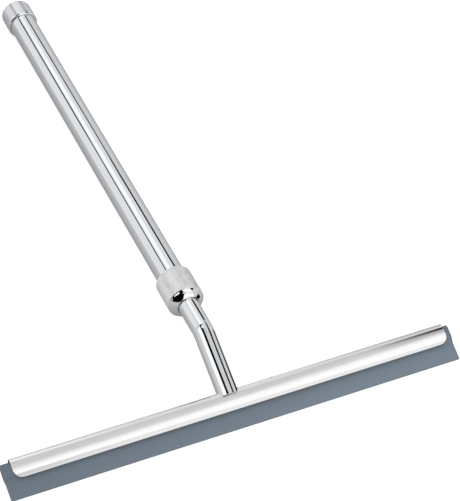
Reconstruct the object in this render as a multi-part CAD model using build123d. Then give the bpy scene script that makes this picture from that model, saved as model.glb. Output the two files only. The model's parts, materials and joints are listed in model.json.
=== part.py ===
from build123d import *
import math
import os

# Window cleaning squeegee with an extending handle, lying on a flat surface.
#
# Row frame: +X along the blade, +Y from the blade towards the handle's end, +Z up.
# The origin is the middle of the rubber's rear lip edge, where it rests on the surface.
# Two working frames are used and placed at the end:
#   head frame    z = 0 at the wiping lip, +Z up the neck, +Y towards the back of the blade
#   handle frame  z = distance along the handle from the bend of the neck, towards the cap

# ---- driving dimensions, millimetres ----
BLADE_LENGTH = 355.0        # 14 inch rubber
HOLDER_LEFT = -170.3        # ends of the holder along the blade: the rubber sits a little off centre
HOLDER_RIGHT = 173.4
LIP_THICKNESS = 2.4
LIP_TOP = 12.0              # height where the lip starts to thicken
BULB_WIDTH = 8.2
BULB_BOTTOM = 18.5
BULB_TOP = 28.0

HOLDER_TOP = 30.25
HOLDER_BOTTOM = 13.5
HOLDER_WIDTH = 10.8
HOLDER_SHEET = 1.0
HOLDER_CRIMP_TOP = 17.5     # below this height the two sides lean in to trap the bulb
HOLDER_CRIMP = 0.9          # how far each side leans in
HOLDER_CORNER_R = 6.5

INNER_TUBE_D = 16.0
INNER_TUBE_WALL = 1.0
NECK_END = 26.0             # height of the tube's cut end, which straddles the holder
WELD_BOTTOM = 24.2
BEND_HEIGHT = 79.0          # lip to the corner of the neck's centreline
BEND_ANGLE = 27.0
BEND_RADIUS = 16.0

OUTER_TUBE_D = 22.0
OUTER_TUBE_WALL = 1.0
CAP_D = 25.8
CAP_RIM_R = 1.7             # rounding of the cap's mouth, where the tube enters
CAP_EDGE_R = 1.3            # rounding of its closed end
CAP_START = 405.8           # stations along the handle frame
CAP_END = 425.0
RING_D = 29.0
RING_START = 34.5
RING_END = 60.9
RING_FACE_R = 13.9          # outer edge of the ring's polished, bulging front face
RING_NOSE_R = 9.0
RING_NOSE = 4.7             # how far the face stands out around the inner tube
RING_BULGE = 0.5            # how far the face bows out from a plain cone
RING_LIP = 0.85             # depth of the rounding at the mouth of the ring

RUNNING = 0.07              # radial clearance of a running fit
SKIRT_GAP = 0.15            # radial gap between the lock ring and what it covers

# ---- values that follow from them ----
INNER_R = INNER_TUBE_D / 2
INNER_BORE_R = INNER_R - INNER_TUBE_WALL
OUTER_R = OUTER_TUBE_D / 2
OUTER_BORE_R = OUTER_R - OUTER_TUBE_WALL
CAP_R = CAP_D / 2
RING_R = RING_D / 2

# lock, from the head end towards the cap
WIPER_START = 35.3
WIPER_END = 38.3
WIPER_R = 10.4
RING_WALL_END = 38.5        # inner face of the lock ring's front wall
SLIP_START = 38.6
SLIP_END = 39.6
SLIP_R = 10.7
COLLET_START = 39.7
COLLET_FLANGE_END = 41.2
COLLET_END = 50.0
COLLAR_START = 42.0
COLLAR_SHOULDER = 54.5
OUTER_TUBE_START = 56.0
COLLAR_END = 82.0
LINER_END = 84.0
LINER_R = 8.8
CONE_FRONT_R = 9.8          # clamping cone between collet and collar
CONE_BACK_R = 8.9
CONE_GAP = 0.1
COLLET_SLOTS = 6
COLLET_SLOT_WIDTH = 1.2
THREAD_R = 10.95
THREAD_PITCH = 1.5
THREAD_DEPTH = 0.45
SEAL_START = 68.0
SEAL_END = 70.0
SEAL_DEPTH = 0.6

# guide on the inner end of the inner tube
PLUG_LENGTH = 20.0
INNER_TUBE_END = 384.0
GUIDE_FLANGE = 2.0
GUIDE_CORE_R = 8.1
GUIDE_FLANGE_R = 9.3
GUIDE_CORE_LENGTH = 14.0
GUIDE_RING_LENGTH = 4.0
GUIDE_RING_SPLIT = 1.5
FRICTION_RING_LENGTH = 2.4
SIDE_GAP = 0.4              # axial gap beside each ring
PIN_R = 1.25
PIN_STATION = 374.0

# closed end of the handle
BUFFER_START = 404.4
INSERT_START = 408.0
OUTER_TUBE_END = 418.0
CAP_BORE_END = 419.5
STUD_R = 3.0
STUD_START = 410.5
STUD_END = 422.5
CAP_SEAL_START = 411.0      # seal in a groove inside the cap
CAP_SEAL_END = 413.4
CAP_SEAL_R = 12.0


def turned(*outline):
    """A solid of revolution about Z from its (radius, height) corners."""
    corners = [(radius, 0, height) for radius, height in outline]
    return revolve(make_face(Polyline(*corners, close=True)), Axis.Z)


def ring(inner_r, outer_r, start, end):
    """A plain ring or bush about Z."""
    return turned((inner_r, start), (outer_r, start), (outer_r, end), (inner_r, end))


def along_x(face_yz, length):
    """A profile drawn as (y, z) made into a solid of this length, centred on x = 0."""
    return extrude(Plane.YZ * face_yz, amount=length / 2, both=True)


def mirrored_outline(half):
    """A closed face from the curves of its right half, which start and end on x = 0 or share a base."""
    return make_face(Curve() + half + [mirror(edge, about=Plane.YZ) for edge in half])


# ---- head: holder, rubber, neck ----
def channel_outline(inset, bottom):
    """Section of the folded holder, inset from its outer face and cut off square at the bottom."""
    half_width = HOLDER_WIDTH / 2 - inset
    arch_centre = HOLDER_TOP - HOLDER_WIDTH / 2
    foot = half_width - HOLDER_CRIMP
    lean = HOLDER_CRIMP / (HOLDER_CRIMP_TOP - HOLDER_BOTTOM)
    foot_at_bottom = foot - lean * (HOLDER_BOTTOM - bottom)
    half = [
        Line((0, bottom), (foot_at_bottom, bottom)),
        Line((foot_at_bottom, bottom), (half_width, HOLDER_CRIMP_TOP)),
        Line((half_width, HOLDER_CRIMP_TOP), (half_width, arch_centre)),
        TangentArc((half_width, arch_centre), (0, arch_centre + half_width), tangent=(0, 1)),
    ]
    return mirrored_outline(half)


def holder_end_shape(length):
    """Side view of the holder: square at the roof, rounded at its lower corners."""
    height = HOLDER_TOP + 1 - HOLDER_BOTTOM
    blank = Pos(0, HOLDER_BOTTOM + height / 2) * Rectangle(length, height)
    lower = blank.vertices().sort_by(Axis.Y)[:2]
    return fillet(lower, HOLDER_CORNER_R)


def make_blade_holder():
    length = HOLDER_RIGHT - HOLDER_LEFT
    outside = along_x(channel_outline(0, HOLDER_BOTTOM), length)
    inside = along_x(channel_outline(HOLDER_SHEET, HOLDER_BOTTOM - 1), length + 2)
    side_view = extrude(Plane.XZ * holder_end_shape(length), amount=HOLDER_WIDTH, both=True)
    return Pos((HOLDER_LEFT + HOLDER_RIGHT) / 2, 0, 0) * ((outside - inside) & side_view)


def make_rubber_blade():
    lip = LIP_THICKNESS / 2
    bulb = BULB_WIDTH / 2
    middle = ((lip + bulb) / 2, (LIP_TOP + BULB_BOTTOM) / 2)
    half = [
        Line((0, 0), (lip, 0)),
        Line((lip, 0), (lip, LIP_TOP)),
        TangentArc((lip, LIP_TOP), middle, tangent=(0, 1)),
        TangentArc((bulb, BULB_BOTTOM), middle, tangent=(0, -1)),
        Line((bulb, BULB_BOTTOM), (bulb, BULB_TOP - bulb)),
        TangentArc((bulb, BULB_TOP - bulb), (0, BULB_TOP), tangent=(0, 1)),
    ]
    return along_x(mirrored_outline(half), BLADE_LENGTH)


def neck_bar(radius):
    """The solid bar of this radius along the neck, round its bend and down the handle."""
    bend = math.radians(BEND_ANGLE)
    far_end = (0, INNER_TUBE_END * math.sin(bend), BEND_HEIGHT + INNER_TUBE_END * math.cos(bend))
    path = FilletPolyline((0, 0, NECK_END), (0, 0, BEND_HEIGHT), far_end, radius=BEND_RADIUS)
    return sweep(Plane.XY.offset(NECK_END) * Circle(radius), path=path)


def pin_hole(radius):
    """Cross hole through the inner end of the tube, in the handle frame."""
    return Pos(0, 0, PIN_STATION) * Rot(0, 90, 0) * Cylinder(radius, OUTER_TUBE_D)


def make_inner_tube():
    tube = neck_bar(INNER_R) - neck_bar(INNER_BORE_R)
    saddle = along_x(channel_outline(0, HOLDER_BOTTOM), 2 * INNER_TUBE_D)
    return tube - saddle - HANDLE_IN_HEAD * pin_hole(PIN_R)


def make_neck_weld():
    """The two fillets that run from the tube's cut end down onto the holder's sides."""
    half = HOLDER_WIDTH / 2
    cone = turned((0, WELD_BOTTOM), (half + 0.15, WELD_BOTTOM), (INNER_R, NECK_END), (0, NECK_END))
    return cone - along_x(channel_outline(0, HOLDER_BOTTOM), 2 * INNER_TUBE_D)


# ---- lock: everything here turns about the handle's axis, in the handle frame ----
def make_lock_ring():
    """The knurled ring's plain blank. Its front wall bulges like a nose and carries the wiper."""
    nose = RING_START - RING_NOSE
    mouth_r = INNER_R + SKIRT_GAP
    across = RING_FACE_R - RING_NOSE_R
    slant = math.hypot(across, RING_NOSE)
    bulge_r = (RING_FACE_R + RING_NOSE_R) / 2 + RING_BULGE * RING_NOSE / slant
    bulge_station = RING_START - RING_NOSE / 2 - RING_BULGE * across / slant
    face = ThreePointArc((RING_FACE_R, 0, RING_START), (bulge_r, 0, bulge_station), (RING_NOSE_R, 0, nose))
    lip = Spline((RING_NOSE_R, 0, nose), (mouth_r, 0, nose + RING_LIP), tangents=[face % 1, (0, 0, 1)])
    rest = Polyline(
        (mouth_r, 0, nose + RING_LIP),
        (mouth_r, 0, WIPER_START),
        (WIPER_R, 0, WIPER_START),
        (WIPER_R, 0, RING_WALL_END),
        (OUTER_R + SKIRT_GAP, 0, RING_WALL_END),
        (OUTER_R + SKIRT_GAP, 0, RING_END),
        (RING_R - 0.7, 0, RING_END),
        (RING_R, 0, RING_END - 0.7),
        (RING_R, 0, RING_START + 0.7),
        (RING_FACE_R, 0, RING_START),
    )
    return revolve(make_face(face + lip + rest), Axis.Z)


def make_ring_wiper():
    lip_r = INNER_R + RUNNING
    return turned((lip_r, WIPER_START), (WIPER_R, WIPER_START), (WIPER_R, WIPER_END),
                  (lip_r + 0.8, WIPER_END), (lip_r, WIPER_START + 1.2))


def make_slip_washer():
    return ring(INNER_R + 0.4, SLIP_R, SLIP_START, SLIP_END)


def make_collet():
    """Slotted sleeve: pushed into the collar's cone, its fingers close on the inner tube."""
    sleeve = turned((INNER_R + RUNNING, COLLET_START), (SLIP_R, COLLET_START), (SLIP_R, COLLET_FLANGE_END),
                    (CONE_FRONT_R - CONE_GAP, COLLET_FLANGE_END), (CONE_BACK_R - CONE_GAP, COLLET_END),
                    (INNER_R + RUNNING, COLLET_END))
    slot_start = COLLET_FLANGE_END + 1
    slot_length = COLLET_END + 1 - slot_start
    slot = Pos(OUTER_R / 2, 0, slot_start + slot_length / 2) * Box(OUTER_R, COLLET_SLOT_WIDTH, slot_length)
    for turn in range(COLLET_SLOTS):
        sleeve -= Rot(0, 0, turn * 360 / COLLET_SLOTS) * slot
    return sleeve


def thread_corners():
    """Ridge by ridge outline of the collar's external thread, from front to back."""
    corners = []
    start = COLLAR_START + 1
    ridges = int((COLLAR_SHOULDER - 2 - start) / THREAD_PITCH)
    for ridge in range(ridges):
        foot = start + ridge * THREAD_PITCH
        corners.append((THREAD_R - THREAD_DEPTH, foot))
        corners.append((THREAD_R, foot + 0.45 * THREAD_PITCH))
        corners.append((THREAD_R, foot + 0.55 * THREAD_PITCH))
    corners.append((THREAD_R - THREAD_DEPTH, start + ridges * THREAD_PITCH))
    return corners


def make_threaded_collar():
    """Screwed nose in front, pressed spigot inside the outer tube behind its shoulder."""
    groove_r = OUTER_BORE_R - SEAL_DEPTH
    return turned((CONE_FRONT_R, COLLAR_START), (THREAD_R - THREAD_DEPTH, COLLAR_START), *thread_corners(),
                  (THREAD_R - THREAD_DEPTH, COLLAR_SHOULDER), (OUTER_R, COLLAR_SHOULDER),
                  (OUTER_R, OUTER_TUBE_START), (OUTER_BORE_R, OUTER_TUBE_START),
                  (OUTER_BORE_R, SEAL_START), (groove_r, SEAL_START), (groove_r, SEAL_END),
                  (OUTER_BORE_R, SEAL_END), (OUTER_BORE_R, COLLAR_END), (LINER_R, COLLAR_END),
                  (LINER_R, COLLET_END + 1.2), (CONE_BACK_R, COLLET_END + 1.2), (CONE_BACK_R, COLLET_END))


def make_collar_seal():
    return ring(OUTER_BORE_R - SEAL_DEPTH, OUTER_BORE_R, SEAL_START, SEAL_END)


def make_mouth_liner():
    """Guide bush for the inner tube; its flange is the stop at full extension."""
    bore = INNER_R + RUNNING
    return turned((bore, COLLET_END + 1.4), (LINER_R, COLLET_END + 1.4), (LINER_R, COLLAR_END),
                  (OUTER_BORE_R - 0.2, COLLAR_END), (OUTER_BORE_R - 0.2, LINER_END), (bore, LINER_END))


# ---- guide on the inner tube's inner end ----
GUIDE_CORE_START = INNER_TUBE_END + GUIDE_FLANGE
GUIDE_CORE_END = GUIDE_CORE_START + GUIDE_CORE_LENGTH
GUIDE_END = GUIDE_CORE_END + GUIDE_FLANGE


def make_guide_bush():
    bush = turned((0, INNER_TUBE_END - PLUG_LENGTH), (INNER_BORE_R, INNER_TUBE_END - PLUG_LENGTH),
                  (INNER_BORE_R, INNER_TUBE_END), (GUIDE_FLANGE_R, INNER_TUBE_END),
                  (GUIDE_FLANGE_R, GUIDE_CORE_START), (GUIDE_CORE_R, GUIDE_CORE_START),
                  (GUIDE_CORE_R, GUIDE_CORE_END), (GUIDE_FLANGE_R, GUIDE_CORE_END),
                  (GUIDE_FLANGE_R, GUIDE_END), (0, GUIDE_END))
    return bush - pin_hole(PIN_R)


def make_bush_pin():
    return Pos(0, 0, PIN_STATION) * Rot(0, 90, 0) * Cylinder(PIN_R, INNER_TUBE_D - 0.4)


def make_guide_rings():
    """Two split rings that keep the bush central and slide in the outer tube."""
    bore = GUIDE_CORE_R + RUNNING
    first = GUIDE_CORE_START + SIDE_GAP
    second = GUIDE_CORE_END - SIDE_GAP - GUIDE_RING_LENGTH
    rings = []
    for start in (first, second):
        middle = start + GUIDE_RING_LENGTH / 2
        split = Pos(GUIDE_FLANGE_R, 0, middle) * Box(4, GUIDE_RING_SPLIT, GUIDE_RING_LENGTH + 1)
        rings.append(ring(bore, OUTER_BORE_R - RUNNING, start, start + GUIDE_RING_LENGTH) - split)
    return Compound(children=rings)


def make_friction_ring():
    middle = (GUIDE_CORE_START + GUIDE_CORE_END) / 2
    half = FRICTION_RING_LENGTH / 2
    bore = GUIDE_CORE_R + RUNNING
    outside = OUTER_BORE_R - RUNNING
    return turned((bore, middle - half), (outside - 0.5, middle - half), (outside, middle),
                  (outside - 0.5, middle + half), (bore, middle + half))


# ---- handle ----
def make_outer_tube():
    return ring(OUTER_BORE_R, OUTER_R, OUTER_TUBE_START, OUTER_TUBE_END)


def make_stop_buffer():
    return ring(2.5, OUTER_BORE_R - 0.5, BUFFER_START, INSERT_START)


def make_cap_insert():
    """Plug pressed into the tube's end, tapped for the cap's stud."""
    return turned((0, INSERT_START), (OUTER_BORE_R, INSERT_START), (OUTER_BORE_R, OUTER_TUBE_END),
                  (STUD_R, OUTER_TUBE_END), (STUD_R, STUD_START), (0, STUD_START))


def make_cap_stud():
    return Pos(0, 0, (STUD_START + STUD_END) / 2) * Cylinder(STUD_R, STUD_END - STUD_START)


def make_cap_seal():
    return ring(OUTER_R, CAP_SEAL_R, CAP_SEAL_START, CAP_SEAL_END)


def make_end_cap():
    cap = Pos(0, 0, (CAP_START + CAP_END) / 2) * Cylinder(CAP_R, CAP_END - CAP_START)
    rims = cap.edges().filter_by(GeomType.CIRCLE).sort_by(Axis.Z)
    cap = fillet(rims[0], CAP_RIM_R)
    rims = cap.edges().filter_by(GeomType.CIRCLE).sort_by(Axis.Z)
    cap = fillet(rims[-1], CAP_EDGE_R)
    cap -= ring(0, OUTER_R, CAP_START - 1, CAP_BORE_END)
    cap -= ring(0, CAP_SEAL_R, CAP_SEAL_START, CAP_SEAL_END)
    return cap - ring(0, STUD_R, CAP_BORE_END - 1, STUD_END)


# ---- placing: the squeegee lies on its rear lip edge and the lower rim of its cap ----
def resting_pose():
    """Head frame to row frame, and the neck's rise above the surface in degrees."""
    bend = math.radians(BEND_ANGLE)
    rim_y = CAP_END * math.sin(bend) + (CAP_R - CAP_EDGE_R) * math.cos(bend)
    rim_z = BEND_HEIGHT + CAP_END * math.cos(bend) - (CAP_R - CAP_EDGE_R) * math.sin(bend)
    corner_y = rim_y - CAP_EDGE_R * math.sin(bend)
    corner_z = rim_z - CAP_EDGE_R * math.cos(bend)
    lip_y = LIP_THICKNESS / 2
    reach = math.hypot(corner_y - lip_y, corner_z)
    rise = math.atan2(corner_y - lip_y, corner_z) + math.asin(CAP_EDGE_R / reach)
    tilt = math.degrees(rise) - 90
    return Rot(tilt, 0, 0) * Pos(0, -lip_y, 0), math.degrees(rise)


HANDLE_IN_HEAD = Pos(0, 0, BEND_HEIGHT) * Rot(-BEND_ANGLE, 0, 0)
HEAD, NECK_RISE = resting_pose()
HANDLE = HEAD * HANDLE_IN_HEAD

HEAD_PARTS = {
    "blade_holder": make_blade_holder,
    "rubber_blade": make_rubber_blade,
    "neck_weld": make_neck_weld,
    "inner_tube": make_inner_tube,
}
HANDLE_PARTS = {
    "guide_bush": make_guide_bush,
    "bush_pin": make_bush_pin,
    "guide_rings": make_guide_rings,
    "friction_ring": make_friction_ring,
    "lock_ring": make_lock_ring,
    "ring_wiper": make_ring_wiper,
    "slip_washer": make_slip_washer,
    "collet": make_collet,
    "threaded_collar": make_threaded_collar,
    "collar_seal": make_collar_seal,
    "mouth_liner": make_mouth_liner,
    "outer_tube": make_outer_tube,
    "stop_buffer": make_stop_buffer,
    "cap_insert": make_cap_insert,
    "cap_stud": make_cap_stud,
    "cap_seal": make_cap_seal,
    "end_cap": make_end_cap,
}


def main():
    os.makedirs("parts", exist_ok=True)
    for pose, makers in ((HEAD, HEAD_PARTS), (HANDLE, HANDLE_PARTS)):
        for node, make in makers.items():
            export_step(pose * make(), f"parts/{node}.step")
    bend = HANDLE.position
    cap = (HANDLE * Pos(0, 0, CAP_END)).position
    print(f"neck rises {NECK_RISE:.3f} degrees, handle rises {NECK_RISE - BEND_ANGLE:.3f} degrees")
    print(f"bend of the neck at y {bend.Y:.4f}, z {bend.Z:.4f}; cap's end at y {cap.Y:.4f}, z {cap.Z:.4f}")


main()
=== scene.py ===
import json
import math

import bmesh
import bpy
from mathutils import Matrix, Vector


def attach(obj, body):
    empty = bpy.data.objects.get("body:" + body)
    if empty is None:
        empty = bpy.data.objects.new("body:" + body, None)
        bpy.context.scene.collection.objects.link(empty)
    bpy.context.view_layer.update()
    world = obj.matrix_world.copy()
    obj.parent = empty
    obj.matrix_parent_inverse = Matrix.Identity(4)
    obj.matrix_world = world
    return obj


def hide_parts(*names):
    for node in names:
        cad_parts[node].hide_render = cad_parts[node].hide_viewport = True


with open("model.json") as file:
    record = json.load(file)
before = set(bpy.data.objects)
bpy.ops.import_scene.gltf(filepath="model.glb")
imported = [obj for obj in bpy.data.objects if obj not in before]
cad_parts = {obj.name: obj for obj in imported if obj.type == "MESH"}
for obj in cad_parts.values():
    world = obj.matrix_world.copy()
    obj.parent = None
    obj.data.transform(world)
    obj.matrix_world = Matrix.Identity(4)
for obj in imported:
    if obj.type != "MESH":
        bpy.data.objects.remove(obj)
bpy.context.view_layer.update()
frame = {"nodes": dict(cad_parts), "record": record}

MM = 0.001

# ---- where things are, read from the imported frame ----
MOUNTS = {mount["name"]: mount for mount in frame["record"]["mounts"]}
ACROSS = Vector((1, 0, 0))
LIP_EDGE = Vector(MOUNTS["wiping_edge"]["pos_m"])
NECK_UP = -Vector(MOUNTS["wiping_edge"]["axis"]).normalized()
HEAD_BACK = NECK_UP.cross(ACROSS)
CAP_FACE = Vector(MOUNTS["cap_end"]["pos_m"])
TO_HEAD = -Vector(MOUNTS["cap_end"]["axis"]).normalized()
HANDLE_SIDE = TO_HEAD.cross(ACROSS)


def span(node, origin, direction):
    """Lowest and highest place of a CAD node along a direction from an origin."""
    places = [(vertex.co - origin).dot(direction) for vertex in frame["nodes"][node].data.vertices]
    return min(places), max(places)


def radius_of(node):
    """Largest distance of a CAD node from the handle's axis."""
    def off_axis(point):
        along = (point - CAP_FACE).dot(TO_HEAD)
        return (point - CAP_FACE - along * TO_HEAD).length
    return max(off_axis(vertex.co) for vertex in frame["nodes"][node].data.vertices)


def axes_matrix(origin, x_axis, y_axis, z_axis):
    matrix = Matrix((x_axis, y_axis, z_axis)).transposed().to_4x4()
    matrix.translation = origin
    return matrix


RUBBER_FRONT, RUBBER_BACK = span("rubber_blade", LIP_EDGE, HEAD_BACK)
BLADE_MIDDLE = LIP_EDGE + HEAD_BACK * (RUBBER_FRONT + RUBBER_BACK) / 2
# head frame: x along the blade, y to the back of the blade, z up the neck from the lip
HEAD_FRAME = axes_matrix(BLADE_MIDDLE, ACROSS, HEAD_BACK, NECK_UP)
# handle frame: z runs from the cap's end face towards the head
HANDLE_FRAME = axes_matrix(CAP_FACE, ACROSS, HANDLE_SIDE, TO_HEAD)

# the origin is the lip's rear edge, so the middle of the rubber is half the lip's thickness in front of it
LIP_THICKNESS = -(RUBBER_FRONT + RUBBER_BACK)
BLADE_HALF = span("rubber_blade", LIP_EDGE, ACROSS)[1]
BULB_WIDTH = RUBBER_BACK - RUBBER_FRONT
BULB_TOP = span("rubber_blade", LIP_EDGE, NECK_UP)[1]
HOLDER_LEFT, HOLDER_RIGHT = span("blade_holder", LIP_EDGE, ACROSS)
HOLDER_HALF = (HOLDER_RIGHT - HOLDER_LEFT) / 2
HOLDER_MIDDLE = (HOLDER_RIGHT + HOLDER_LEFT) / 2
HOLDER_BOTTOM, HOLDER_TOP = span("blade_holder", LIP_EDGE, NECK_UP)
HOLDER_BACK = span("blade_holder", BLADE_MIDDLE, HEAD_BACK)[1]
RING_BACK = span("lock_ring", CAP_FACE, TO_HEAD)[0]
RING_R = radius_of("lock_ring")
TUBE_BACK, TUBE_FRONT = span("outer_tube", CAP_FACE, TO_HEAD)
TUBE_R = radius_of("outer_tube")
CAP_LENGTH = span("end_cap", CAP_FACE, TO_HEAD)[1]
CAP_R = radius_of("end_cap")
WIPER_BACK, WIPER_FRONT = span("ring_wiper", CAP_FACE, TO_HEAD)
WIPER_R = radius_of("ring_wiper")
NECK_TUBE_END = span("inner_tube", CAP_FACE, TO_HEAD)[0]


# ---- mesh helpers ----
def piece_from(name, points, faces, matrix, materials, smooth_below=40):
    """A mesh object from points in a working frame, smooth except at edges sharper than this many degrees."""
    mesh = bpy.data.meshes.new(name)
    mesh.from_pydata([matrix @ Vector(point) for point in points], [], faces)
    mesh.validate()
    shape = bmesh.new()
    shape.from_mesh(mesh)
    bmesh.ops.recalc_face_normals(shape, faces=shape.faces)
    shape.to_mesh(mesh)
    shape.free()
    mesh.shade_smooth()
    mesh.set_sharp_from_angle(angle=math.radians(smooth_below))
    for material in materials:
        mesh.materials.append(material)
    piece = bpy.data.objects.new(name, mesh)
    bpy.context.scene.collection.objects.link(piece)
    return piece


def skin(rows, wrap_columns=True):
    """Points and quads of the surface through rows of equal length, from the last row back to the first."""
    count = len(rows[0])
    points = [point for row in rows for point in row]
    faces = []
    column_pairs = count if wrap_columns else count - 1
    for i in range(len(rows)):
        below = i * count
        above = ((i + 1) % len(rows)) * count
        for j in range(column_pairs):
            k = (j + 1) % count
            faces.append((below + j, below + k, above + k, above + j))
    return points, faces


def full_turn(segments):
    return [2 * math.pi * i / segments for i in range(segments)]


def circle(radius, height, segments):
    return [(radius * math.cos(turn), radius * math.sin(turn), height) for turn in full_turn(segments)]


HOLD = 0.12 * MM            # each run of a profile keeps a point this close to its ends, to shade flat
LATHE_SEGMENTS = 160


def rounded(corners, steps=6):
    """A profile through (radius, height, corner radius) corners, where each round corner becomes an arc."""
    path = []
    for i, (r, z, fillet) in enumerate(corners):
        here = Vector((r, z))
        before = Vector(corners[i - 1][:2])
        after = Vector(corners[(i + 1) % len(corners)][:2])
        to_before = (before - here).normalized()
        to_after = (after - here).normalized()
        if fillet <= 0:
            path += [here + to_before * HOLD, here, here + to_after * HOLD]
            continue
        half = to_before.angle(to_after) / 2
        cut = fillet / math.tan(half)
        centre = here + (to_before + to_after).normalized() * fillet / math.sin(half)
        start = here + to_before * cut
        finish = here + to_after * cut
        path.append(start + to_before * HOLD)
        swing = (finish - centre).angle_signed(start - centre)
        for step in range(steps + 1):
            turned = (start - centre).copy()
            turned.rotate(Matrix.Rotation(swing * step / steps, 2))
            path.append(centre + turned)
        path.append(finish + to_after * HOLD)
    return [(point.x, point.y) for point in path]


def lathe(name, profile, materials):
    """A ring-shaped solid about the handle's axis, from a closed profile of (radius, height) points."""
    points, faces = skin([circle(r, z, LATHE_SEGMENTS) for r, z in profile])
    return piece_from(name, points, faces, HANDLE_FRAME, materials)


def use_piece(piece, node, body):
    """Shows the piece in place of a CAD node, riding a body."""
    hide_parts(node)
    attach(piece, body)


# ---- materials ----
NOISE_LOW = 0.3             # noise rarely leaves this range
NOISE_HIGH = 0.7
EVEN = (1, 1, 1)            # noise that isn't stretched


def new_material(name, base, roughness, metallic=0.0, specular=0.5):
    material = bpy.data.materials.new(name)
    material.use_nodes = True
    shader = material.node_tree.nodes["Principled BSDF"]
    shader.inputs["Base Color"].default_value = (*base, 1)
    shader.inputs["Metallic"].default_value = metallic
    shader.inputs["Roughness"].default_value = roughness
    shader.inputs["Specular IOR Level"].default_value = specular
    return material, material.node_tree, shader


def stretched_noise(tree, stretch, scale, detail):
    """Noise in the piece's own coordinates, stretched by a different amount along each axis."""
    place = tree.nodes.new("ShaderNodeTexCoord")
    mapping = tree.nodes.new("ShaderNodeMapping")
    mapping.inputs["Scale"].default_value = stretch
    noise = tree.nodes.new("ShaderNodeTexNoise")
    noise.inputs["Scale"].default_value = scale
    noise.inputs["Detail"].default_value = detail
    tree.links.new(place.outputs["Object"], mapping.inputs["Vector"])
    tree.links.new(mapping.outputs["Vector"], noise.inputs["Vector"])
    return noise.outputs["Fac"]


def vary(tree, factor, low, high, socket):
    """Feeds a socket with a value that runs from low to high with the factor."""
    ramp = tree.nodes.new("ShaderNodeMapRange")
    ramp.inputs["From Min"].default_value = NOISE_LOW
    ramp.inputs["From Max"].default_value = NOISE_HIGH
    ramp.inputs["To Min"].default_value = low
    ramp.inputs["To Max"].default_value = high
    tree.links.new(factor, ramp.inputs["Value"])
    tree.links.new(ramp.outputs["Result"], socket)


def tint(tree, factor, dark, light, socket):
    """Feeds a colour socket with a mix of two colours."""
    ramp = tree.nodes.new("ShaderNodeValToRGB")
    ramp.color_ramp.elements[0].position = NOISE_LOW
    ramp.color_ramp.elements[1].position = NOISE_HIGH
    ramp.color_ramp.elements[0].color = (*dark, 1)
    ramp.color_ramp.elements[1].color = (*light, 1)
    tree.links.new(factor, ramp.inputs["Fac"])
    tree.links.new(ramp.outputs["Color"], socket)


def math_node(tree, operation, *values):
    """A math node whose inputs are numbers or sockets."""
    node = tree.nodes.new("ShaderNodeMath")
    node.operation = operation
    for socket, value in zip(node.inputs, values):
        if isinstance(value, (int, float)):
            socket.default_value = value
        else:
            tree.links.new(value, socket)
    return node.outputs["Value"]


def bump(tree, shader, factor, distance):
    node = tree.nodes.new("ShaderNodeBump")
    node.inputs["Strength"].default_value = 1.0
    node.inputs["Distance"].default_value = distance
    tree.links.new(factor, node.inputs["Height"])
    tree.links.new(node.outputs["Normal"], shader.inputs["Normal"])


def polished_metal(name, base, dark, grain, roughness, grain_depth):
    """Bright metal with faint polishing lines. grain stretches the lines along the piece."""
    material, tree, shader = new_material(name, base, roughness, metallic=1.0)
    lines = stretched_noise(tree, grain, 260.0, 4.0)
    vary(tree, lines, roughness * 0.7, roughness * 1.5, shader.inputs["Roughness"])
    cloud = stretched_noise(tree, EVEN, 30.0, 2.0)
    tint(tree, cloud, dark, base, shader.inputs["Base Color"])
    bump(tree, shader, lines, grain_depth)
    return material


def brush_around(material, amount):
    """Spreads reflections along the handle, as marks left by turning on a lathe do."""
    tree = material.node_tree
    shader = tree.nodes["Principled BSDF"]
    tangent = tree.nodes.new("ShaderNodeTangent")
    tangent.direction_type = "RADIAL"
    tangent.axis = "Y"
    tree.links.new(tangent.outputs["Tangent"], shader.inputs["Tangent"])
    shader.inputs["Anisotropic"].default_value = amount
    shader.inputs["Anisotropic Rotation"].default_value = 0.25


def soft_skin(name, colour, roughness, grain_scale, grain_depth):
    """Rubber or plastic with a fine skin. Returns the material, its tree, its shader and its colour drift."""
    material, tree, shader = new_material(name, colour, roughness)
    cloud = stretched_noise(tree, EVEN, 22.0, 4.0)
    grain = stretched_noise(tree, EVEN, grain_scale, 2.0)
    vary(tree, grain, roughness * 0.9, min(1.0, roughness * 1.1), shader.inputs["Roughness"])
    bump(tree, shader, grain, grain_depth)
    return material, tree, shader, cloud


def matte(name, dark, light, roughness, grain_scale, grain_depth):
    """Rubber or plastic with slight colour drift."""
    material, tree, shader, cloud = soft_skin(name, light, roughness, grain_scale, grain_depth)
    tint(tree, cloud, dark, light, shader.inputs["Base Color"])
    return material


def rubber_with_painted_shade(name, dark, light, roughness, grain_scale, grain_depth):
    """Rubber with painted shade: darker up under the holder, lighter down to the lip and a little lighter
    towards the right end of the blade.
    """
    material, tree, shader, cloud = soft_skin(name, light, roughness, grain_scale, grain_depth)
    place = tree.nodes.new("ShaderNodeTexCoord")
    split = tree.nodes.new("ShaderNodeSeparateXYZ")
    tree.links.new(place.outputs["Generated"], split.inputs["Vector"])
    # painted shade: the colour darkens from the lip up towards the holder, and from the right end of the
    # blade to the left
    lip = math_node(tree, "SUBTRACT", 1.0, split.outputs["Y"])
    corner = math_node(tree, "MULTIPLY", lip, split.outputs["X"])
    share = math_node(tree, "MULTIPLY_ADD", corner, 0.45, 0.20)
    share = math_node(tree, "MULTIPLY_ADD", lip, 0.14, share)
    share = math_node(tree, "MULTIPLY_ADD", cloud, 0.10, share)
    tint(tree, share, dark, light, shader.inputs["Base Color"])
    return material


ALONG_HANDLE = (6.0, 0.12, 6.0)
ALONG_BLADE = (0.05, 4.0, 4.0)
AROUND_HANDLE = (0.4, 9.0, 0.4)

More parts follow.
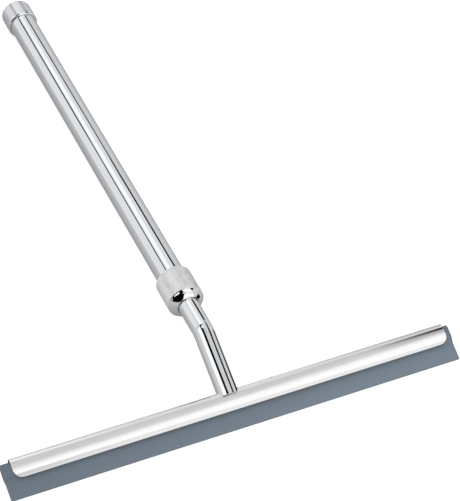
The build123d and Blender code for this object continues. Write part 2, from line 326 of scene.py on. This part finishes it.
# name, colour, its darkest drift, grain, roughness, depth of the grain in metres
tube_chrome = polished_metal(
    "tube_chrome", (0.885, 0.905, 0.94), (0.86, 0.88, 0.915), ALONG_HANDLE, 0.05, 2e-6)
neck_chrome = polished_metal(
    "neck_chrome", (0.90, 0.915, 0.94), (0.875, 0.89, 0.915), ALONG_HANDLE, 0.04, 1e-6)
holder_steel = polished_metal(
    "holder_steel", (0.90, 0.90, 0.90), (0.87, 0.87, 0.87), ALONG_BLADE, 0.07, 2e-6)
# a dark copy of the holder's steel for the sheet's cut ends: painted shade
painted_shade_end_steel = polished_metal(
    "painted_shade_end_steel", (0.13, 0.13, 0.135), (0.08, 0.08, 0.085), EVEN, 0.35, 4e-6)
weld_bead = polished_metal(
    "weld_bead", (0.84, 0.84, 0.835), (0.76, 0.76, 0.75), EVEN, 0.16, 1.2e-5)
ring_polish = polished_metal(
    "ring_polish", (0.90, 0.905, 0.915), (0.87, 0.88, 0.89), EVEN, 0.05, 1e-6)
ring_knurl = polished_metal(
    "ring_knurl", (0.96, 0.96, 0.965), (0.92, 0.92, 0.925), EVEN, 0.33, 2e-6)
cap_satin = polished_metal(
    "cap_satin", (0.92, 0.94, 0.975), (0.89, 0.91, 0.945), AROUND_HANDLE, 0.27, 1e-6)
collar_brass = polished_metal(
    "collar_brass", (0.80, 0.62, 0.30), (0.70, 0.52, 0.24), AROUND_HANDLE, 0.25, 6e-6)
pin_steel = polished_metal(
    "pin_steel", (0.66, 0.66, 0.67), (0.56, 0.56, 0.57), EVEN, 0.28, 4e-6)
brush_around(cap_satin, 0.9)

# name, darkest and lightest colour, roughness, scale of the skin's grain, its depth in metres
# blade_rubber's two colours are the ends of its painted shade: dark under the holder, light at the lip
blade_rubber = rubber_with_painted_shade(
    "blade_rubber", (0.087, 0.115, 0.146), (0.128, 0.164, 0.201), 0.62, 1500.0, 1.5e-5)
seal_rubber = matte("seal_rubber", (0.008, 0.008, 0.009), (0.014, 0.014, 0.015), 0.55, 1200.0, 2e-5)
white_nylon = matte("white_nylon", (0.72, 0.71, 0.67), (0.78, 0.77, 0.73), 0.45, 900.0, 1e-5)
black_nylon = matte("black_nylon", (0.020, 0.020, 0.022), (0.030, 0.030, 0.032), 0.42, 900.0, 1e-5)


# ---- camera ----
LENS = 179.64               # millimetres
VIEW_AZIMUTH = 22.715       # degrees to the left of the handle's direction
VIEW_ELEVATION = 45.333     # degrees above the floor
CAMERA_PLACE = Vector((-0.4684, -1.0979, 1.3933))


def add_camera():
    camera = bpy.data.cameras.new("camera")
    camera.lens = LENS
    camera.sensor_width = 36.0
    camera.clip_start = 0.05
    eye = bpy.data.objects.new("camera", camera)
    turn = Matrix.Rotation(-math.radians(VIEW_AZIMUTH), 4, "Z")
    tip = Matrix.Rotation(math.radians(90 - VIEW_ELEVATION), 4, "X")
    eye.matrix_world = Matrix.Translation(CAMERA_PLACE) @ turn @ tip
    bpy.context.scene.collection.objects.link(eye)
    bpy.context.scene.camera = eye


# ---- head ----
CRIMP_TOP = HOLDER_BOTTOM + 4.0 * MM
CRIMP = 0.9 * MM            # how far each side leans in below that
SHEET = 1.0 * MM            # thickness
HOLDER_CORNER_R = 6.5 * MM
PLATE_CROWN = 0.34 * MM     # how far the flat of each side bows outwards


def holder_side(inset):
    """Half section of the holder, from its foot to the top of its arch, as (y, z)."""
    half = HOLDER_BACK - inset
    arch = HOLDER_TOP - HOLDER_BACK
    outline = []
    for step in range(25):
        share = step / 24
        z = HOLDER_BOTTOM + (arch - HOLDER_BOTTOM) * share
        bow = PLATE_CROWN * (1 - share) ** 2
        drop = max(0.0, (CRIMP_TOP - z) / (CRIMP_TOP - HOLDER_BOTTOM))
        outline.append((half - bow - (CRIMP - PLATE_CROWN) * drop ** 2, z))
    for step in range(1, 21):
        turn = step / 20 * math.pi / 2
        outline.append((half * math.cos(turn), arch + half * math.sin(turn)))
    return outline


def holder_reach(z):
    """How far along the blade the holder goes at this height: less at its rounded lower corners."""
    centre = HOLDER_BOTTOM + HOLDER_CORNER_R
    if z >= centre:
        return HOLDER_HALF
    drop = min(centre - z, HOLDER_CORNER_R)
    return HOLDER_HALF - HOLDER_CORNER_R + math.sqrt(HOLDER_CORNER_R ** 2 - drop ** 2)


def both_sides(half):
    """A full section from its half: front side up over the arch and down the back."""
    front = [(-y, z) for y, z in half]
    back = [(y, z) for y, z in reversed(half[:-1])]
    return front + back


def make_holder():
    outer = both_sides(holder_side(0))
    inner = both_sides(holder_side(SHEET))
    columns = [-1 + 2 * i / 60 for i in range(61)]
    loop = outer + list(reversed(inner))
    rows = [[(HOLDER_MIDDLE + share * holder_reach(z), y, z) for share in columns] for y, z in loop]
    points, faces = skin(rows, wrap_columns=False)
    skin_faces = len(faces)
    count = len(columns)
    total = len(loop)
    for i in range(len(outer) - 1):
        j = total - 1 - i
        for column in (0, count - 1):
            faces.append((i * count + column, (i + 1) * count + column,
                          (j - 1) * count + column, j * count + column))
    piece = piece_from("blade_holder_sheet", points, faces, HEAD_FRAME, [holder_steel, painted_shade_end_steel])
    # the sheet's cut ends take the dark copy of the steel: painted shade
    for face in piece.data.polygons[skin_faces:]:
        face.material_index = 1
    bevel = piece.modifiers.new("edges", "BEVEL")
    bevel.width = 0.15 * MM
    bevel.segments = 2
    bevel.limit_method = "ANGLE"
    bevel.angle_limit = math.radians(50)
    use_piece(piece, "blade_holder", "head")


RUBBER_LIP_TOP = 12.0 * MM  # the thin lip ends here and starts to swell
BULB_BOTTOM = 18.5 * MM
LIP_CHAMFER = 0.15 * MM


def rubber_half():
    """Half section of the rubber from the middle of the lip's edge to the top of the bulb."""
    lip = LIP_THICKNESS / 2
    bulb = BULB_WIDTH / 2
    outline = [(0, 0), (lip - LIP_CHAMFER, 0), (lip, LIP_CHAMFER)]
    for step in range(13):
        share = step / 12
        ease = share * share * (3 - 2 * share)
        outline.append((lip + (bulb - lip) * ease, RUBBER_LIP_TOP + (BULB_BOTTOM - RUBBER_LIP_TOP) * share))
    for step in range(15):
        turn = step / 14 * math.pi / 2
        outline.append((bulb * math.cos(turn), BULB_TOP - bulb + bulb * math.sin(turn)))
    return outline


def make_rubber():
    half = rubber_half()
    loop = [(-y, z) for y, z in half] + [(y, z) for y, z in reversed(half[1:-1])]
    columns = [-BLADE_HALF + 2 * BLADE_HALF * i / 80 for i in range(81)]
    rows = [[(x, y, z) for x in columns] for y, z in loop]
    points, faces = skin(rows, wrap_columns=False)
    count = len(columns)
    faces.append(tuple(i * count for i in range(len(loop))))
    faces.append(tuple(i * count + count - 1 for i in range(len(loop))))
    piece = piece_from("rubber_strip", points, faces, HEAD_FRAME, [blade_rubber])
    use_piece(piece, "rubber_blade", "blade")


# ---- neck tube ----
BEND_ANGLE = math.acos(max(-1, min(1, NECK_UP.dot(-TO_HEAD))))
BEND_RADIUS = 16.0 * MM
NECK_R = 8.0 * MM
NECK_BORE_R = 7.0 * MM
NECK_CUT = 26.0 * MM        # height of the tube's plain cut where it passes the holder
NECK_SEGMENTS = 128
WELD_SPREAD = 0.2 * MM
WELD_STEPS = 6


def bend_height():
    """Height in the head frame at which the neck's line meets the handle's axis."""
    in_head = HEAD_FRAME.inverted() @ CAP_FACE
    return in_head.z - in_head.y / math.tan(BEND_ANGLE)


def saddle_height(y):
    """Height of the tube's cut end at this y: on the holder's arch, or the plain cut beside it."""
    if abs(y) >= HOLDER_BACK:
        return NECK_CUT
    arch = HOLDER_TOP - HOLDER_BACK + math.sqrt(HOLDER_BACK ** 2 - y ** 2)
    return max(NECK_CUT, arch)


def tilted_ring(radius, centre_y, centre_z, swing):
    """A ring of the neck that leans back by this angle."""
    return [(radius * math.cos(turn), centre_y + radius * math.sin(turn) * math.cos(swing),
             centre_z - radius * math.sin(turn) * math.sin(swing)) for turn in full_turn(NECK_SEGMENTS)]


def neck_rows(radius):
    """Rings of the neck at this radius, from its saddle cut round the bend to its inner end."""
    corner = bend_height()
    setback = BEND_RADIUS * math.tan(BEND_ANGLE / 2)
    in_head = HEAD_FRAME.inverted() @ CAP_FACE
    run = math.hypot(in_head.y, in_head.z - corner) - NECK_TUBE_END
    cut = circle(radius, 0, NECK_SEGMENTS)
    rows = [[(x, y, saddle_height(y)) for x, y, _ in cut]]
    rows.append(circle(radius, HOLDER_TOP + 1.5 * MM, NECK_SEGMENTS))
    rows.append(circle(radius, corner - setback, NECK_SEGMENTS))
    for step in range(1, 25):
        swing = BEND_ANGLE * step / 24
        centre_y = BEND_RADIUS * (1 - math.cos(swing))
        centre_z = corner - setback + BEND_RADIUS * math.sin(swing)
        rows.append(tilted_ring(radius, centre_y, centre_z, swing))
    for distance in (setback + 4 * MM, run / 2, run):
        centre_y = distance * math.sin(BEND_ANGLE)
        centre_z = corner + distance * math.cos(BEND_ANGLE)
        rows.append(tilted_ring(radius, centre_y, centre_z, BEND_ANGLE))
    return rows


def make_neck_tube():
    outside = neck_rows(NECK_R)
    inside = neck_rows(NECK_BORE_R)
    points, faces = skin(outside + list(reversed(inside)))
    piece = piece_from("neck_tube", points, faces, HEAD_FRAME, [neck_chrome])
    use_piece(piece, "inner_tube", "head")


def on_arch(y):
    """The holder's arch at this y, as (y, z), no further out than its sides."""
    y = max(-HOLDER_BACK, min(HOLDER_BACK, y))
    return y, HOLDER_TOP - HOLDER_BACK + math.sqrt(max(0, HOLDER_BACK ** 2 - y ** 2))


def weld_point(turn, share):
    """A point of the fillet: share runs from 0 on the tube to 1 on the holder."""
    x = NECK_R * math.cos(turn)
    y = NECK_R * math.sin(turn)
    top = Vector((x, y, saddle_height(y) + WELD_SPREAD))
    foot_radius = NECK_R + WELD_SPREAD
    foot = Vector((foot_radius * math.cos(turn), *on_arch(foot_radius * math.sin(turn))))
    corner = Vector((x, on_arch(y)[0], (top.z + foot.z) / 2))
    middle = corner.lerp((top + foot) / 2, 0.5)
    return tuple(top * (1 - share) ** 2 + middle * 2 * share * (1 - share) + foot * share ** 2)


def make_neck_weld():
    """The polished fillet all round the saddle, from the tube down onto the holder."""
    turns = full_turn(NECK_SEGMENTS)
    rows = [[weld_point(turn, step / WELD_STEPS) for turn in turns] for step in range(WELD_STEPS + 1)]
    points, faces = skin(rows)
    piece = piece_from("neck_fillet", points, faces, HEAD_FRAME, [weld_bead])
    use_piece(piece, "neck_weld", "head")


# ---- lock ring ----
KNURL_STARTS = 52
KNURL_PITCH = 1.3 * MM
KNURL_DEPTH = 0.36 * MM
KNURL_SAMPLES = 6                   # mesh points for each ridge
RING_BORE_R = TUBE_R + 0.15 * MM
RING_MOUTH_R = NECK_R + 0.15 * MM
RING_RIM = RING_BACK + 26.4 * MM    # where the knurled side ends
RING_FACE_R = RING_R - 0.6 * MM     # outer edge of the polished face
RING_NOSE_R = NECK_R + 1.0 * MM
RING_NOSE = 4.7 * MM                # how far the face stands out around the neck
RING_BULGE = 0.5 * MM               # how far the face bows out of a straight cone
RING_LIP = 0.85 * MM                # depth of the rounding at its mouth
RING_LIP_PULL = 0.55 * MM           # reach of the curve's handles at both ends of the rounding
WIPER_SEAT = WIPER_BACK - 0.2 * MM  # bottom of the groove that holds the wiper


def saw(value):
    """A triangle wave between 0 and 1."""
    return 1 - abs(2 * (value % 1.0) - 1)


def knurl_point(turn, height):
    """A point of the diamond knurl, where ridges of both hands cross in blunt peaks."""
    left = KNURL_STARTS * turn / (2 * math.pi) + height / (2 * KNURL_PITCH)
    right = KNURL_STARTS * turn / (2 * math.pi) - height / (2 * KNURL_PITCH)
    peak = min(saw(left), saw(right))
    radius = RING_R - KNURL_DEPTH * (1 - min(1.0, 1.15 * peak))
    return radius * math.cos(turn), radius * math.sin(turn), height


def ring_face():
    """Profile of the polished front, from its mouth out to the knurled side, as (radius, height)."""
    outer = Vector((RING_FACE_R, RING_RIM))
    nose = Vector((RING_NOSE_R, RING_RIM + RING_NOSE))
    mouth = Vector((RING_MOUTH_R, nose.y - RING_LIP))
    chord = nose - outer
    bulge = Vector((chord.y, -chord.x)).normalized() * RING_BULGE
    face = [outer.lerp(nose, i / 24) + bulge * 4 * (i / 24) * (1 - i / 24) for i in range(25)]
    leaving = (chord - 4 * bulge).normalized()
    first = nose + leaving * RING_LIP_PULL
    second = mouth + Vector((0, RING_LIP_PULL))
    lip = []
    for step in range(1, 11):
        done = step / 10
        left = 1 - done
        lip.append(nose * left ** 3 + first * 3 * done * left ** 2
                   + second * 3 * done ** 2 * left + mouth * done ** 3)
    return [(point.x, point.y) for point in reversed(face + lip)]


def make_lock_ring():
    segments = KNURL_STARTS * KNURL_SAMPLES
    rows = [circle(radius, height, segments) for radius, height in ring_face()]
    rows.append(circle(RING_FACE_R + 0.1 * MM, RING_RIM - 0.05 * MM, segments))
    dome_rows = len(rows)
    knurl_top = RING_RIM - 0.6 * MM
    knurl_bottom = RING_BACK + 0.9 * MM
    count = round((knurl_top - knurl_bottom) / KNURL_PITCH) * KNURL_SAMPLES
    for step in range(count + 1):
        height = knurl_top + (knurl_bottom - knurl_top) * step / count
        rows.append([knurl_point(turn, height) for turn in full_turn(segments)])
    knurl_rows = len(rows)
    back_and_bore = [
        (RING_R - 0.45 * MM, RING_BACK + 0.6 * MM),
        (RING_R - 0.9 * MM, RING_BACK + 0.1 * MM),
        (RING_R - 1.1 * MM, RING_BACK),
        (RING_BORE_R + 0.2 * MM, RING_BACK),
        (RING_BORE_R, RING_BACK + 0.2 * MM),
        (RING_BORE_R, WIPER_SEAT),
        (WIPER_R, WIPER_SEAT),
        (WIPER_R, WIPER_FRONT),
        (RING_MOUTH_R, WIPER_FRONT),
    ]
    rows += [circle(radius, height, segments) for radius, height in back_and_bore]
    points, faces = skin(rows)
    piece = piece_from("lock_ring_knurled", points, faces, HANDLE_FRAME, [ring_polish, ring_knurl], 50)
    for index, face in enumerate(piece.data.polygons):
        row = index // segments
        if dome_rows <= row < knurl_rows:
            face.material_index = 1
            face.use_smooth = False
    use_piece(piece, "lock_ring", "lock_nut")


def make_ring_wiper():
    wiper_bore_r = NECK_R + 0.07 * MM
    profile = rounded([
        (wiper_bore_r, WIPER_FRONT, 0.1 * MM),
        (wiper_bore_r, WIPER_FRONT - 1.2 * MM, 0),
        (NECK_R + 0.9 * MM, WIPER_BACK, 0),
        (WIPER_R, WIPER_BACK, 0),
        (WIPER_R, WIPER_FRONT, 0),
    ])
    piece = lathe("wiper_lip", profile, [seal_rubber])
    use_piece(piece, "ring_wiper", "lock_nut")


# ---- outer tube and cap ----
TUBE_BORE_R = TUBE_R - 1.0 * MM
CAP_RIM_R = 1.7 * MM        # rounding of the cap's mouth
CAP_EDGE_R = 1.3 * MM       # rounding of its closed end
CAP_BORE_R = TUBE_R + 0.02 * MM
CAP_FLOOR = TUBE_BACK - 1.0 * MM
CAP_PINHOLE_R = 0.05 * MM   # the turned profile stops short of the axis
TUBE_EDGE_R = 0.2 * MM


def make_outer_tube():
    profile = rounded([
        (TUBE_R, TUBE_BACK, TUBE_EDGE_R),
        (TUBE_R, TUBE_FRONT, TUBE_EDGE_R),
        (TUBE_BORE_R, TUBE_FRONT, TUBE_EDGE_R),
        (TUBE_BORE_R, TUBE_BACK, TUBE_EDGE_R),
    ])
    piece = lathe("handle_tube", profile, [tube_chrome])
    use_piece(piece, "outer_tube", "handle")


def make_end_cap():
    profile = rounded([
        (CAP_PINHOLE_R, 0, 0),
        (CAP_R, 0, CAP_EDGE_R),
        (CAP_R, CAP_LENGTH, CAP_RIM_R),
        (CAP_BORE_R, CAP_LENGTH, 0.15 * MM),
        (CAP_BORE_R, CAP_FLOOR, 0),
        (CAP_PINHOLE_R, CAP_FLOOR, 0),
    ], steps=12)
    piece = lathe("handle_cap", profile, [cap_satin, ring_polish])
    for face in piece.data.polygons:
        if (face.center - CAP_FACE).dot(TO_HEAD) > CAP_LENGTH - CAP_RIM_R:
            face.material_index = 1
    use_piece(piece, "end_cap", "handle")


# ---- these CAD parts keep their shape and get their materials ----
KEPT_SHAPES = {
    "guide_bush": black_nylon, "bush_pin": pin_steel, "guide_rings": white_nylon,
    "friction_ring": seal_rubber, "slip_washer": pin_steel, "collet": white_nylon,
    "threaded_collar": collar_brass, "collar_seal": seal_rubber, "mouth_liner": white_nylon,
    "stop_buffer": seal_rubber, "cap_insert": collar_brass, "cap_stud": pin_steel,
    "cap_seal": seal_rubber,
}


def dress_kept_shapes():
    for node, material in KEPT_SHAPES.items():
        mesh = frame["nodes"][node].data
        mesh.materials.clear()
        mesh.materials.append(material)


# ---- studio ----
ROOM_LEVEL = 0.66           # brightness of the plain walls that the metal mirrors
CEILING = 1.0               # height of the cards overhead, metres
FLOOR_FAR = 0.56            # brightness of the mirrored floor, far from the object and under it, where it is darkened as painted shade
FLOOR_PAINTED_SHADE = 0.27
FLOOR_FADE = 0.05           # how soon one turns into the other on both sides of the handle, metres
CARD_STEP = 0.004           # drop from one layer of cards to the next, metres
SCENE_MIDDLE = Vector((0, 0.2, 0))


def glow_material(name):
    """An emission shader and its strength socket."""
    material = bpy.data.materials.new(name)
    material.use_nodes = True
    tree = material.node_tree
    tree.nodes.remove(tree.nodes["Principled BSDF"])
    emission = tree.nodes.new("ShaderNodeEmission")
    tree.links.new(emission.outputs["Emission"], tree.nodes["Material Output"].inputs["Surface"])
    return material, tree, emission.inputs["Strength"]


def fade_in(tree, distance, reach):
    """0 at the edge of a card, 1 from this far inside it."""
    fade = tree.nodes.new("ShaderNodeMapRange")
    fade.interpolation_type = "SMOOTHSTEP"
    fade.inputs["From Max"].default_value = max(reach, 0.001)
    tree.links.new(distance, fade.inputs["Value"])
    return fade.outputs["Result"]


def card_material(name, level, soft, slant=0.0):
    """Even brightness that fades to what is behind the card. soft gives the share of the card over
    which its sides, its near end and its far end fade. slant cuts the far end short on the left."""
    material, tree, strength = glow_material(name)
    strength.default_value = level
    place = tree.nodes.new("ShaderNodeTexCoord")
    split = tree.nodes.new("ShaderNodeSeparateXYZ")
    tree.links.new(place.outputs["Generated"], split.inputs["Vector"])
    sides, near, far = soft
    from_side = math_node(tree, "PINGPONG", split.outputs["X"], 0.5)
    far_end = math_node(tree, "MULTIPLY_ADD", split.outputs["X"], slant, 1 - slant)
    from_far = math_node(tree, "SUBTRACT", far_end, split.outputs["Y"])
    cover = fade_in(tree, from_side, sides)
    cover = math_node(tree, "MULTIPLY", cover, fade_in(tree, split.outputs["Y"], near))
    cover = math_node(tree, "MULTIPLY", cover, fade_in(tree, from_far, far))
    clear = tree.nodes.new("ShaderNodeBsdfTransparent")
    mix = tree.nodes.new("ShaderNodeMixShader")
    tree.links.new(cover, mix.inputs["Fac"])
    tree.links.new(clear.outputs["BSDF"], mix.inputs[1])
    tree.links.new(strength.node.outputs["Emission"], mix.inputs[2])
    tree.links.new(mix.outputs["Shader"], tree.nodes["Material Output"].inputs["Surface"])
    return material


def only_mirrored(piece):
    """Stage dressing that only reflections see."""
    piece.visible_camera = False
    piece.visible_diffuse = False
    piece.visible_shadow = False


def lay_card(name, start, end, across, width, material):
    """A flat card along a line from start to end."""
    half = width / 2
    length = (end - start).length
    along = (end - start).normalized()
    mesh = bpy.data.meshes.new(name)
    mesh.from_pydata([(-half, 0, 0), (half, 0, 0), (half, length, 0), (-half, length, 0)], [], [(0, 1, 2, 3)])
    mesh.materials.append(material)
    card = bpy.data.objects.new(name, mesh)
    card.matrix_world = axes_matrix(start, across, along, across.cross(along))
    bpy.context.scene.collection.objects.link(card)
    only_mirrored(card)


def add_card(name, start, end, width, level, soft, slant=0.0):
    """A studio card that faces the object."""
    start = Vector(start)
    end = Vector(end)
    facing = (SCENE_MIDDLE - (start + end) / 2).normalized()
    across = (end - start).cross(facing).normalized()
    lay_card(name, start, end, across, width, card_material(name, level, soft, slant))


def add_flat_card(name, start, end, width, level, soft):
    """A card that lies level."""
    start = Vector(start)
    end = Vector(end)
    across = (end - start).cross(Vector((0, 0, 1))).normalized()
    lay_card(name, start, end, across, width, card_material(name, level, soft))


def overhead(x, y, layer=0):
    """A place on the ceiling. Cards on layer 1 hang below those on layer 0 and hide them."""
    return (x, y, CEILING - CARD_STEP * layer)


# each card: name, middle of its near end, middle of its far end, width, brightness, soft edges
def add_ceiling_panels():
    """The bright panels that give the metal its broad white bands."""
    add_flat_card("back_haze", overhead(0.28, 0.66, -1), overhead(0.28, 2.6, -1),
                  1.20, 0.80, (0.10, 0.02, 0.02))
    add_card("back_panel", overhead(-0.02, 0.66), overhead(-0.02, 2.15), 0.90, 1.06, (0.22, 0.02, 0.40))
    add_card("left_panel", overhead(-0.92, -0.6), overhead(-0.92, 0.68), 1.05, 1.06, (0.12, 0.04, 0.04))
    add_card("front_panel", overhead(0.35, -0.172), overhead(0.395, -0.70),
             1.1, 1.12, (0.12, 0.06, 0.30), slant=0.59)
    add_card("front_far", overhead(0.60, -0.36, -1), overhead(0.60, -1.9, -1), 1.35, 0.92, (0.25, 0.02, 0.02))
    add_card("arch_glint", overhead(-0.6, 0.38), overhead(0.40, 0.38), 0.28, 0.86, (0.3, 0.05, 0.05))


def add_ceiling_gaps():
    """The dark gaps between the panels, which the tubes mirror as thin black lines."""
    add_card("neck_gap", overhead(-0.28, -0.6, 1), overhead(-0.25, 0.66, 1), 0.42, 0.0, (0.06, 0.01, 0.01))
    add_card("left_gap", overhead(-0.61, 1.25, 1), overhead(-0.54, 1.60, 1), 0.19, 0.0, (0.2, 0.01, 0.01))
    add_card("left_gap_far", overhead(-0.55, 1.58, 1), overhead(-0.435, 2.3, 1),
             0.23, 0.0, (0.15, 0.01, 0.01))
    add_flat_card("right_gap_root", overhead(1.22, -0.5, 2), overhead(1.12, 0.0, 2),
                  0.72, 0.0, (0.08, 0.01, 0.12))
    add_card("right_gap", overhead(0.94, -0.5, 1), overhead(1.02, 1.2, 1), 0.38, 0.0, (0.10, 0.01, 0.01))
    add_flat_card("bend_gap", overhead(1.04, 1.17, 1), overhead(1.06, 1.43, 1), 0.20, 0.0, (0.08, 0.05, 0.05))
    add_flat_card("ring_gap", overhead(0.955, 1.405, 1), overhead(2.25, 2.39, 1),
                  0.16, 0.0, (0.05, 0.03, 0.03))
    add_flat_card("right_gap_near", overhead(1.179, 1.642, 1), overhead(1.048, 1.844, 1),
                  0.74, 0.0, (0.06, 0.02, 0.02))
    add_flat_card("right_gap_far", overhead(1.104, 1.868, 1), overhead(0.855, 2.183, 1),
                  0.49, 0.0, (0.06, 0.01, 0.02))
    add_card("back_gap", overhead(-0.6, 2.75, 1), overhead(0.8, 2.75, 1), 0.5, 0.2, (0.2, 0.1, 0.1))
    add_flat_card("arch_gap", overhead(-0.2, -0.01, 1), overhead(0.45, -0.01, 1),
                  0.05, 0.42, (0.3, 0.05, 0.05))


def add_standing_cards():
    """Cards behind and in front of the object, and two small dark ones close to the holder."""
    add_card("back_left", (-2.5, 1.4, 0.85), (-0.8, 3.0, 0.85), 2.2, 0.83, (0.06, 0.35, 0.35))
    add_card("back_wall", (-1.0, 3.1, 0.42), (1.15, 3.1, 0.42), 0.9, 0.98, (0.10, 0.10, 0.10))
    add_card("dark_front", (-0.20, -1.5, 0.60), (-1.47, -0.22, 0.60), 1.7, 0.0, (0.02, 0.02, 0.02))
    add_card("bright_front", (-0.18, -1.5, 0.50), (1.4, -1.3, 0.50), 1.5, 1.1, (0.02, 0.02, 0.02))
    add_flat_card("end_gap", (0.200, 0.046, 0.33), (0.43, 0.046, 0.33), 0.195, 0.0, (0.2, 0.4, 0.02))
    lay_card("low_gap", Vector((0.036, 0.030, 0.0085)), Vector((0.057, 0.089, 0.0310)),
             Vector((0, -0.267, 0.964)), 0.024, card_material("low_gap", 0.0, (0.1, 0.02, 0.02)))


def flat_square(name, half, height):
    mesh = bpy.data.meshes.new(name)
    corners = [(-half, -half, height), (half, -half, height), (half, half, height), (-half, half, height)]
    mesh.from_pydata(corners, [], [(0, 1, 2, 3)])
    piece = bpy.data.objects.new(name, mesh)
    bpy.context.scene.collection.objects.link(piece)
    return piece


def add_floor():
    """A plain white floor, lit a little from below so that shadows stay light."""
    material, _, shader = new_material("floor", (0.60, 0.60, 0.60), 0.9, specular=0.0)
    shader.inputs["Emission Color"].default_value = (1, 1, 1, 1)
    shader.inputs["Emission Strength"].default_value = 0.62
    floor = flat_square("floor", 4.0, 0.0)
    floor.data.materials.append(material)
    floor.visible_glossy = False


def add_mirrored_floor():
    """What polished metal sees of the floor: darker close to the object, as painted shade."""
    material, tree, strength = glow_material("mirrored_floor")
    place = tree.nodes.new("ShaderNodeTexCoord")
    split = tree.nodes.new("ShaderNodeSeparateXYZ")
    tree.links.new(place.outputs["Object"], split.inputs["Vector"])
    # painted shade: the mirrored floor darkens close to the handle, on both sides of it
    off_middle = math_node(tree, "ABSOLUTE", split.outputs["X"])
    fade = math_node(tree, "EXPONENT", math_node(tree, "MULTIPLY", off_middle, -1 / FLOOR_FADE))
    tree.links.new(math_node(tree, "MULTIPLY_ADD", fade, FLOOR_PAINTED_SHADE - FLOOR_FAR, FLOOR_FAR), strength)
    floor = flat_square("mirrored_floor", 12.0, -0.0005)
    floor.data.materials.append(material)
    only_mirrored(floor)


def add_light():
    """A large soft light overhead for everything that isn't a mirror."""
    light = bpy.data.lights.new("overhead_light", "AREA")
    light.size = 3.0
    light.energy = 60.0
    lamp = bpy.data.objects.new("overhead_light", light)
    lamp.location = (-0.4, -0.6, 2.6)
    lamp.rotation_euler = (SCENE_MIDDLE - lamp.location).to_track_quat("-Z", "Y").to_euler()
    lamp.visible_glossy = False
    lamp.visible_camera = False
    bpy.context.scene.collection.objects.link(lamp)


def add_world():
    world = bpy.data.worlds.new("studio")
    world.use_nodes = True
    background = world.node_tree.nodes["Background"]
    background.inputs["Color"].default_value = (1, 1, 1, 1)
    background.inputs["Strength"].default_value = ROOM_LEVEL
    bpy.context.scene.world = world
    bpy.context.scene.view_settings.view_transform = "Standard"


add_camera()
make_holder()
make_rubber()
make_neck_tube()
make_neck_weld()
make_lock_ring()
make_ring_wiper()
make_outer_tube()
make_end_cap()
dress_kept_shapes()
add_floor()
add_mirrored_floor()
add_ceiling_panels()
add_ceiling_gaps()
add_standing_cards()
add_light()
add_world()
